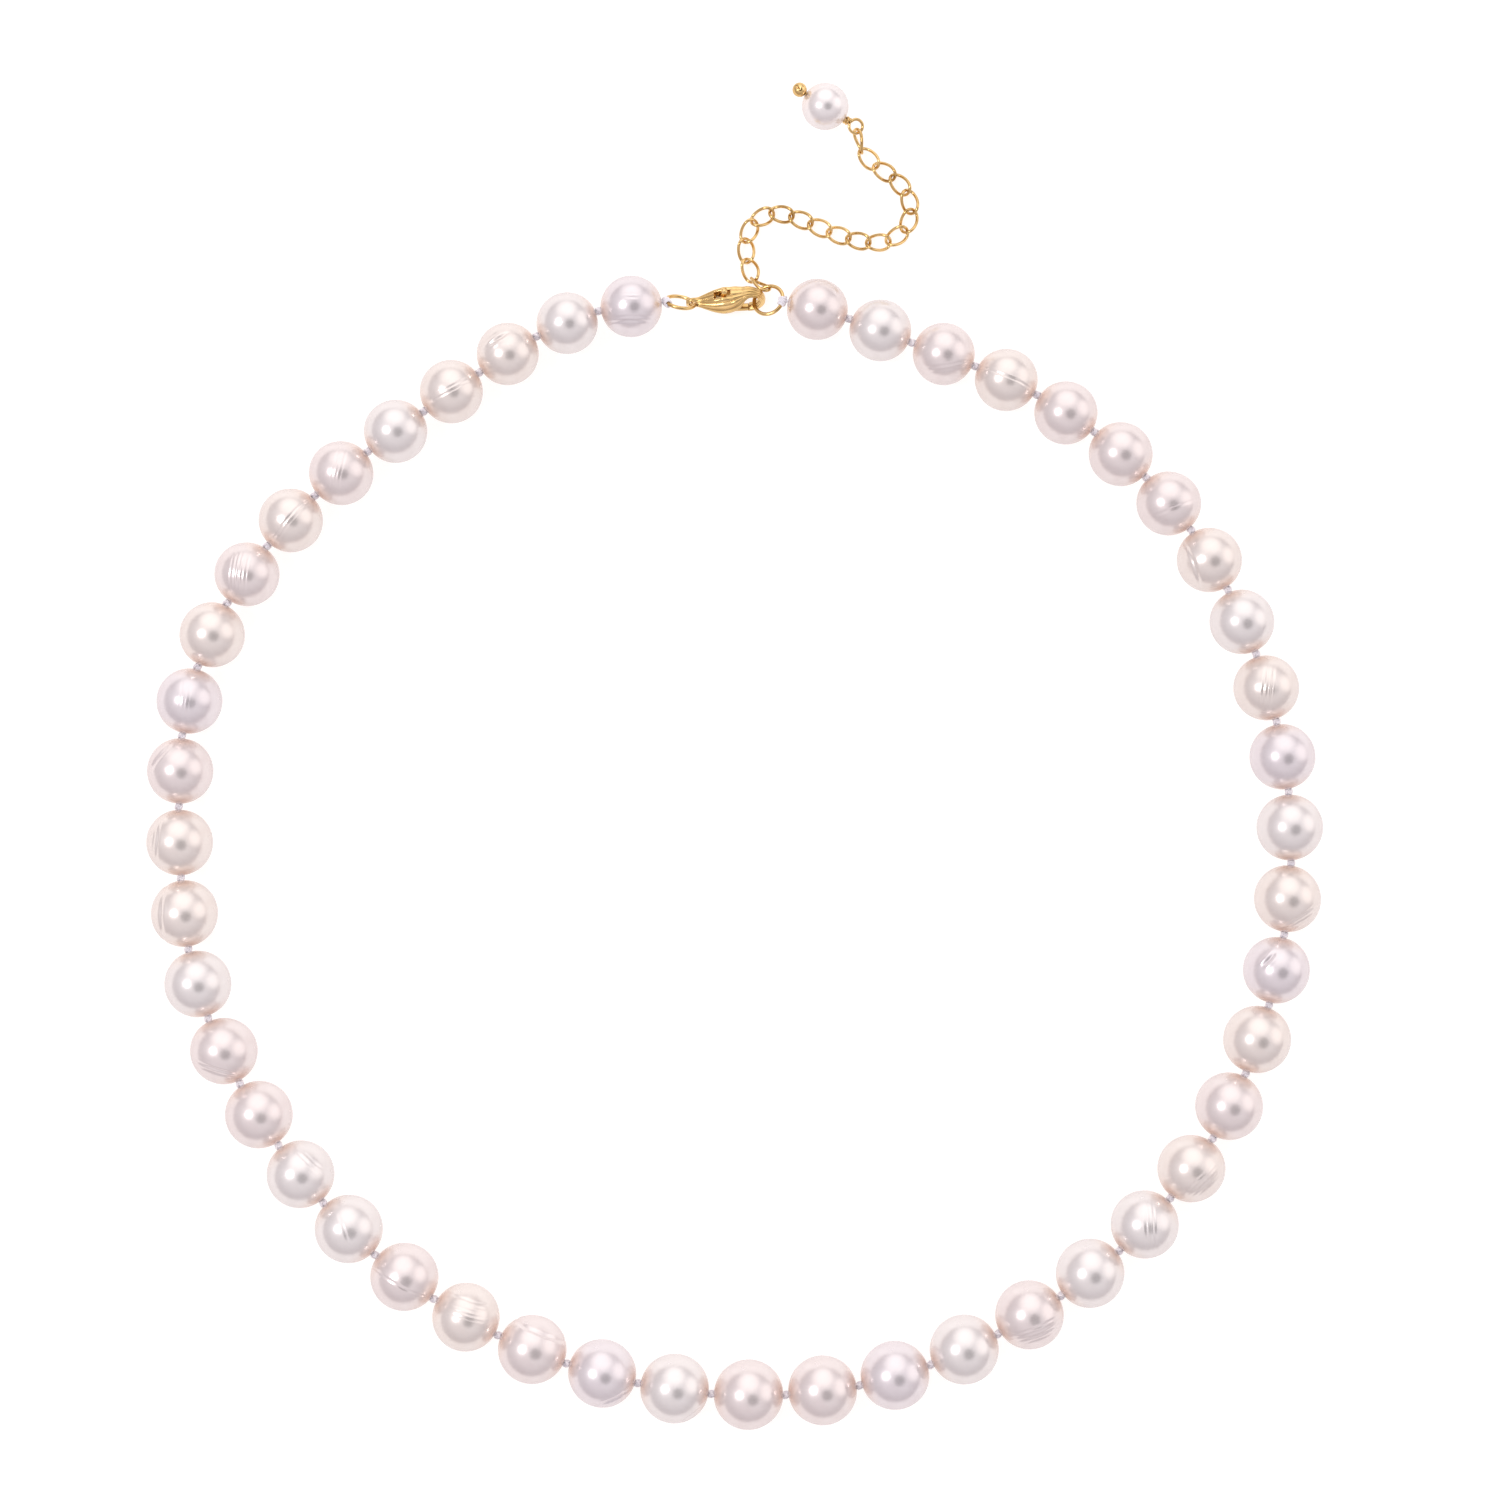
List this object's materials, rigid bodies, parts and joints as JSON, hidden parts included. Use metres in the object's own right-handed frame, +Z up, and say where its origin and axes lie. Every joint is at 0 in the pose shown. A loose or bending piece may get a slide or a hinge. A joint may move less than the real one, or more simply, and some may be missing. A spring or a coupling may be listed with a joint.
{
  "type": "pearl necklace",
  "caption": "Graduated round pearls knotted on silk, closed by a gold lever clasp with an extender chain and a drop pearl, laid flat in a loop.",
  "frame": {"origin": "middle of the laid-out necklace, on the surface it lies on", "axes": "+Z up, +Y from the front pearl to the clasp, +X towards the extender's side"},
  "size_m": [0.1534, 0.1758, 0.009],
  "materials": {
    "pearl": "nacre",
    "drop_pearl": "nacre",
    "silk": "twisted thread",
    "gold_plate": "polished gold plate",
    "spring_steel": "satin"
  },
  "bodies": {
    "front_pearl": {"pearl_24": "pearl", "silk_cord": "silk"},
    "pearl_23": {"pearl_23": "pearl"},
    "pearl_22": {"pearl_22": "pearl"},
    "pearl_21": {"pearl_21": "pearl"},
    "pearl_20": {"pearl_20": "pearl"},
    "pearl_19": {"pearl_19": "pearl"},
    "pearl_18": {"pearl_18": "pearl"},
    "pearl_17": {"pearl_17": "pearl"},
    "pearl_16": {"pearl_16": "pearl"},
    "pearl_15": {"pearl_15": "pearl"},
    "pearl_14": {"pearl_14": "pearl"},
    "pearl_13": {"pearl_13": "pearl"},
    "pearl_12": {"pearl_12": "pearl"},
    "pearl_11": {"pearl_11": "pearl"},
    "pearl_10": {"pearl_10": "pearl"},
    "pearl_09": {"pearl_09": "pearl"},
    "pearl_08": {"pearl_08": "pearl"},
    "pearl_07": {"pearl_07": "pearl"},
    "pearl_06": {"pearl_06": "pearl"},
    "pearl_05": {"pearl_05": "pearl"},
    "pearl_04": {"pearl_04": "pearl"},
    "pearl_03": {"pearl_03": "pearl"},
    "pearl_02": {"pearl_02": "pearl"},
    "pearl_01": {"pearl_01": "pearl"},
    "pearl_25": {"pearl_25": "pearl"},
    "pearl_26": {"pearl_26": "pearl"},
    "pearl_27": {"pearl_27": "pearl"},
    "pearl_28": {"pearl_28": "pearl"},
    "pearl_29": {"pearl_29": "pearl"},
    "pearl_30": {"pearl_30": "pearl"},
    "pearl_31": {"pearl_31": "pearl"},
    "pearl_32": {"pearl_32": "pearl"},
    "pearl_33": {"pearl_33": "pearl"},
    "pearl_34": {"pearl_34": "pearl"},
    "pearl_35": {"pearl_35": "pearl"},
    "pearl_36": {"pearl_36": "pearl"},
    "pearl_37": {"pearl_37": "pearl"},
    "pearl_38": {"pearl_38": "pearl"},
    "pearl_39": {"pearl_39": "pearl"},
    "pearl_40": {"pearl_40": "pearl"},
    "pearl_41": {"pearl_41": "pearl"},
    "pearl_42": {"pearl_42": "pearl"},
    "pearl_43": {"pearl_43": "pearl"},
    "pearl_44": {"pearl_44": "pearl"},
    "pearl_45": {"pearl_45": "pearl"},
    "pearl_46": {"pearl_46": "pearl"},
    "pearl_47": {"pearl_47": "pearl"},
    "tail_ring": {"clasp_ring": "gold_plate"},
    "clasp": {"clasp_body": "gold_plate", "clasp_spring": "spring_steel", "clasp_rivet": "gold_plate"},
    "lever": {"clasp_lever": "gold_plate"},
    "end_ring": {"end_ring": "gold_plate"},
    "extender_1": {"extender_links_1": "gold_plate"},
    "extender_2": {"extender_links_2": "gold_plate"},
    "extender_3": {"extender_links_3": "gold_plate"},
    "extender_4": {"extender_links_4": "gold_plate"},
    "headpin": {"headpin": "gold_plate"},
    "drop_pearl": {"drop_pearl": "drop_pearl"}
  },
  "joints": [
    {"name": "clasp_lever_pivot", "type": "hinge", "parent": "clasp", "child": "lever", "pos_m": [-0.0015, 0.05917, 0.0018], "axis": [0.0466, -0.8817, 0.4695], "range_deg": [0, 28], "stiffness_Nm_per_rad": 0.00002, "springref_deg": -17.19, "deforming": ["clasp_spring"]},
    {"name": "clasp_ring_swing", "type": "hinge", "parent": "pearl_01", "child": "tail_ring", "pos_m": [-0.00886, 0.05911, 0.004], "axis": [0, 0, 1], "range_deg": [-10, 20], "deforming": ["silk_cord"]},
    {"name": "clasp_tail_swing", "type": "hinge", "parent": "tail_ring", "child": "clasp", "pos_m": [-0.00541, 0.05929, 0.00242], "axis": [0.0466, -0.8817, 0.4695], "range_deg": [-8, 25]},
    {"name": "end_ring_swivel", "type": "hinge", "parent": "clasp", "child": "end_ring", "pos_m": [0.00259, 0.05972, 0.00242], "axis": [-0.2254, -0.9449, 0.2373], "range_deg": [-10, 25], "deforming": ["silk_cord"]},
    {"name": "extender_bend_1", "type": "hinge", "parent": "end_ring", "child": "extender_1", "pos_m": [0.0042, 0.06097, 0.00259], "axis": [0, 0, 1], "range_deg": [-15, 15]},
    {"name": "extender_bend_2", "type": "hinge", "parent": "extender_1", "child": "extender_2", "pos_m": [0.00245, 0.07007, 0.00077], "axis": [0, 0, -1], "range_deg": [-25, 2]},
    {"name": "extender_bend_3", "type": "hinge", "parent": "extender_2", "child": "extender_3", "pos_m": [0.01239, 0.06876, 0.00077], "axis": [0, 0, 1], "range_deg": [-15, 15]},
    {"name": "extender_bend_4", "type": "hinge", "parent": "extender_3", "child": "extender_4", "pos_m": [0.02335, 0.07145, 0.00077], "axis": [0, 0, -1], "range_deg": [-4, 25]},
    {"name": "drop_swing", "type": "hinge", "parent": "extender_4", "child": "headpin", "pos_m": [0.01603, 0.08186, 0.00162], "axis": [0, 0, 1], "range_deg": [-20, 20]},
    {"name": "drop_pearl_spin", "type": "hinge", "parent": "headpin", "child": "drop_pearl", "pos_m": [0.01184, 0.08485, 0.00305], "axis": [-0.8304, 0.4892, 0.2667], "continuous": true},
    {"name": "knot_23_open", "type": "hinge", "parent": "front_pearl", "child": "pearl_23", "pos_m": [-0.00303, -0.08331, 0.0045], "axis": [0, 0, 1], "range_deg": [0, 32.5], "deforming": ["silk_cord"]},
    {"name": "knot_24_open", "type": "hinge", "parent": "front_pearl", "child": "pearl_25", "pos_m": [0.00666, -0.08344, 0.0045], "axis": [0.0398, -0.706, -0.7071], "range_deg": [0, 25], "deforming": ["silk_cord"]},
    {"name": "knot_22_lift", "type": "hinge", "parent": "pearl_23", "child": "pearl_22", "pos_m": [-0.01262, -0.08191, 0.00449], "axis": [0.2053, 0.9787, 0], "range_deg": [-25, 25], "deforming": ["silk_cord"]},
    {"name": "knot_25_lift", "type": "hinge", "parent": "pearl_25", "child": "pearl_26", "pos_m": [0.01626, -0.08222, 0.00449], "axis": [-0.2034, 0.9791, 0], "range_deg": [-25, 25], "deforming": ["silk_cord"]},
    {"name": "knot_21_open", "type": "hinge", "parent": "pearl_22", "child": "pearl_21", "pos_m": [-0.02194, -0.07934, 0.00448], "axis": [0, 0, -1], "range_deg": [-32, 0], "deforming": ["silk_cord"]},
    {"name": "knot_26_open", "type": "hinge", "parent": "pearl_26", "child": "pearl_27", "pos_m": [0.02554, -0.07952, 0.00448], "axis": [-0.2467, 0.6627, 0.7071], "range_deg": [-25, 0], "deforming": ["silk_cord"]},
    {"name": "knot_20_lift", "type": "hinge", "parent": "pearl_21", "child": "pearl_20", "pos_m": [-0.03085, -0.07566, 0.00447], "axis": [-0.4379, -0.899, 0], "range_deg": [-25, 25], "deforming": ["silk_cord"]},
    {"name": "knot_27_lift", "type": "hinge", "parent": "pearl_27", "child": "pearl_28", "pos_m": [0.03431, -0.0755, 0.00447], "axis": [0.468, -0.8837, 0], "range_deg": [-25, 25], "deforming": ["silk_cord"]},
    {"name": "knot_19_open", "type": "hinge", "parent": "pearl_20", "child": "pearl_19", "pos_m": [-0.03923, -0.07092, 0.00446], "axis": [0, 0, 1], "range_deg": [0, 32.3], "deforming": ["silk_cord"]},
    {"name": "knot_28_open", "type": "hinge", "parent": "pearl_28", "child": "pearl_29", "pos_m": [0.04254, -0.07052, 0.00446], "axis": [0.4004, -0.5828, -0.7071], "range_deg": [0, 25], "deforming": ["silk_cord"]},
    {"name": "knot_18_lift", "type": "hinge", "parent": "pearl_19", "child": "pearl_18", "pos_m": [-0.0469, -0.06517, 0.00444], "axis": [0.6532, 0.7572, 0], "range_deg": [-25, 25], "deforming": ["silk_cord"]},
    {"name": "knot_29_lift", "type": "hinge", "parent": "pearl_29", "child": "pearl_30", "pos_m": [0.05012, -0.06464, 0.00444], "axis": [-0.6668, 0.7452, 0], "range_deg": [-25, 25], "deforming": ["silk_cord"]},
    {"name": "knot_17_open", "type": "hinge", "parent": "pearl_18", "child": "pearl_17", "pos_m": [-0.05369, -0.05844, 0.00442], "axis": [0, 0, -1], "range_deg": [-32.5, 0], "deforming": ["silk_cord"]},
    {"name": "knot_30_open", "type": "hinge", "parent": "pearl_30", "child": "pearl_31", "pos_m": [0.05678, -0.05778, 0.00442], "axis": [-0.543, 0.4529, 0.7071], "range_deg": [-25, 0], "deforming": ["silk_cord"]},
    {"name": "knot_16_lift", "type": "hinge", "parent": "pearl_17", "child": "pearl_16", "pos_m": [-0.05954, -0.05092, 0.00441], "axis": [-0.8197, -0.5727, 0], "range_deg": [-25, 25], "deforming": ["silk_cord"]},
    {"name": "knot_31_lift", "type": "hinge", "parent": "pearl_31", "child": "pearl_32", "pos_m": [0.06231, -0.05003, 0.00441], "axis": [0.8555, -0.5177, 0], "range_deg": [-25, 25], "deforming": ["silk_cord"]},
    {"name": "knot_15_open", "type": "hinge", "parent": "pearl_16", "child": "pearl_15", "pos_m": [-0.06458, -0.04288, 0.00439], "axis": [0, 0, 1], "range_deg": [0, 31.1], "deforming": ["silk_cord"]},
    {"name": "knot_32_open", "type": "hinge", "parent": "pearl_32", "child": "pearl_33", "pos_m": [0.0666, -0.04157, 0.00439], "axis": [0.6517, -0.2745, -0.7071], "range_deg": [0, 25], "deforming": ["silk_cord"]},
    {"name": "knot_14_lift", "type": "hinge", "parent": "pearl_15", "child": "pearl_14", "pos_m": [-0.06871, -0.03438, 0.00437], "axis": [0.9339, 0.3575, 0], "range_deg": [-25, 25], "deforming": ["silk_cord"]},
    {"name": "knot_33_lift", "type": "hinge", "parent": "pearl_33", "child": "pearl_34", "pos_m": [0.06965, -0.03262, 0.00437], "axis": [-0.9636, 0.2673, 0], "range_deg": [-25, 25], "deforming": ["silk_cord"]},
    {"name": "knot_13_open", "type": "hinge", "parent": "pearl_14", "child": "pearl_13", "pos_m": [-0.07129, -0.02534, 0.00435], "axis": [0, 0, -1], "range_deg": [-34.9, 0], "deforming": ["silk_cord"]},
    {"name": "knot_34_open", "type": "hinge", "parent": "pearl_34", "child": "pearl_35", "pos_m": [0.07163, -0.02343, 0.00435], "axis": [-0.6986, 0.1094, 0.7071], "range_deg": [-25, 0], "deforming": ["silk_cord"]},
    {"name": "knot_12_lift", "type": "hinge", "parent": "pearl_13", "child": "pearl_12", "pos_m": [-0.07227, -0.01603, 0.00432], "axis": [-0.9978, -0.0664, 0], "range_deg": [-25, 25], "deforming": ["silk_cord"]},
    {"name": "knot_35_lift", "type": "hinge", "parent": "pearl_35", "child": "pearl_36", "pos_m": [0.07255, -0.01411, 0.00432], "axis": [0.9995, -0.0317, 0], "range_deg": [-25, 25], "deforming": ["silk_cord"]},
    {"name": "knot_11_open", "type": "hinge", "parent": "pearl_12", "child": "pearl_11", "pos_m": [-0.07254, -0.00671, 0.0043], "axis": [0, 0, 1], "range_deg": [0, 29.1], "deforming": ["silk_cord"]},
    {"name": "knot_36_open", "type": "hinge", "parent": "pearl_36", "child": "pearl_37", "pos_m": [0.07223, -0.0048, 0.0043], "axis": [0.7034, 0.0723, -0.7071], "range_deg": [0, 25], "deforming": ["silk_cord"]},
    {"name": "knot_10_lift", "type": "hinge", "parent": "pearl_11", "child": "pearl_10", "pos_m": [-0.07213, 0.00254, 0.00428], "axis": [0.9912, -0.132, 0], "range_deg": [-25, 25], "deforming": ["silk_cord"]},
    {"name": "knot_37_lift", "type": "hinge", "parent": "pearl_37", "child": "pearl_38", "pos_m": [0.07066, 0.00434, 0.00428], "axis": [-0.9734, -0.2291, 0], "range_deg": [-25, 25], "deforming": ["silk_cord"]},
    {"name": "knot_09_open", "type": "hinge", "parent": "pearl_10", "child": "pearl_09", "pos_m": [-0.0701, 0.01153, 0.00425], "axis": [0, 0, -1], "range_deg": [-37.3, 0], "deforming": ["silk_cord"]},
    {"name": "knot_38_open", "type": "hinge", "parent": "pearl_38", "child": "pearl_39", "pos_m": [0.068, 0.01317, 0.00425], "axis": [-0.6633, -0.2449, 0.7071], "range_deg": [-25, 0], "deforming": ["silk_cord"]},
    {"name": "knot_08_lift", "type": "hinge", "parent": "pearl_09", "child": "pearl_08", "pos_m": [-0.06624, 0.01983, 0.00422], "axis": [-0.8665, 0.4991, 0], "range_deg": [-25, 25], "deforming": ["silk_cord"]},
    {"name": "knot_39_lift", "type": "hinge", "parent": "pearl_39", "child": "pearl_40", "pos_m": [0.0643, 0.02155, 0.00422], "axis": [0.8856, 0.4644, 0], "range_deg": [-25, 25], "deforming": ["silk_cord"]},
    {"name": "knot_07_open", "type": "hinge", "parent": "pearl_08", "child": "pearl_07", "pos_m": [-0.06103, 0.0273, 0.0042], "axis": [0, 0, 1], "range_deg": [0, 33.4], "deforming": ["silk_cord"]},
    {"name": "knot_40_open", "type": "hinge", "parent": "pearl_40", "child": "pearl_41", "pos_m": [0.05954, 0.02932, 0.0042], "axis": [0.574, 0.4129, -0.7071], "range_deg": [0, 25], "deforming": ["silk_cord"]},
    {"name": "knot_06_lift", "type": "hinge", "parent": "pearl_07", "child": "pearl_06", "pos_m": [-0.05481, 0.03389, 0.00417], "axis": [0.6847, -0.7289, 0], "range_deg": [-25, 25], "deforming": ["silk_cord"]},
    {"name": "knot_41_lift", "type": "hinge", "parent": "pearl_41", "child": "pearl_42", "pos_m": [0.05373, 0.03626, 0.00417], "axis": [-0.7159, -0.6982, 0], "range_deg": [-25, 25], "deforming": ["silk_cord"]},
    {"name": "knot_05_open", "type": "hinge", "parent": "pearl_06", "child": "pearl_05", "pos_m": [-0.04789, 0.03965, 0.00414], "axis": [0, 0, -1], "range_deg": [-29.1, 0], "deforming": ["silk_cord"]},
    {"name": "knot_42_open", "type": "hinge", "parent": "pearl_42", "child": "pearl_43", "pos_m": [0.04697, 0.04221, 0.00414], "axis": [-0.4261, -0.5643, 0.7071], "range_deg": [-25, 0], "deforming": ["silk_cord"]},
    {"name": "knot_04_lift", "type": "hinge", "parent": "pearl_05", "child": "pearl_04", "pos_m": [-0.04062, 0.04487, 0.00411], "axis": [-0.5792, 0.8152, 0], "range_deg": [-25, 25], "deforming": ["silk_cord"]},
    {"name": "knot_43_lift", "type": "hinge", "parent": "pearl_43", "child": "pearl_44", "pos_m": [0.03945, 0.04705, 0.00411], "axis": [0.4823, 0.876, 0], "range_deg": [-25, 25], "deforming": ["silk_cord"]},
    {"name": "knot_03_open", "type": "hinge", "parent": "pearl_04", "child": "pearl_03", "pos_m": [-0.03335, 0.04998, 0.00408], "axis": [0, 0, 1], "range_deg": [0, 27.9], "deforming": ["silk_cord"]},
    {"name": "knot_44_open", "type": "hinge", "parent": "pearl_44", "child": "pearl_45", "pos_m": [0.03139, 0.05079, 0.00408], "axis": [0.2721, 0.6526, -0.7071], "range_deg": [0, 25], "deforming": ["silk_cord"]},
    {"name": "knot_02_lift", "type": "hinge", "parent": "pearl_03", "child": "pearl_02", "pos_m": [-0.02589, 0.05468, 0.00405], "axis": [0.4582, -0.8889, 0], "range_deg": [-25, 25], "deforming": ["silk_cord"]},
    {"name": "knot_45_lift", "type": "hinge", "parent": "pearl_45", "child": "pearl_46", "pos_m": [0.02312, 0.05387, 0.00405], "axis": [-0.3527, -0.9357, 0], "range_deg": [-25, 25], "deforming": ["silk_cord"]},
    {"name": "knot_01_open", "type": "hinge", "parent": "pearl_02", "child": "pearl_01", "pos_m": [-0.01779, 0.058, 0.00402], "axis": [0, 0, -1], "range_deg": [-40, 0], "deforming": ["silk_cord"]},
    {"name": "knot_46_open", "type": "hinge", "parent": "pearl_46", "child": "pearl_47", "pos_m": [0.01494, 0.05699, 0.00402], "axis": [-0.2209, -0.6717, 0.7071], "range_deg": [-25, 0], "deforming": ["silk_cord"]}
  ]
}
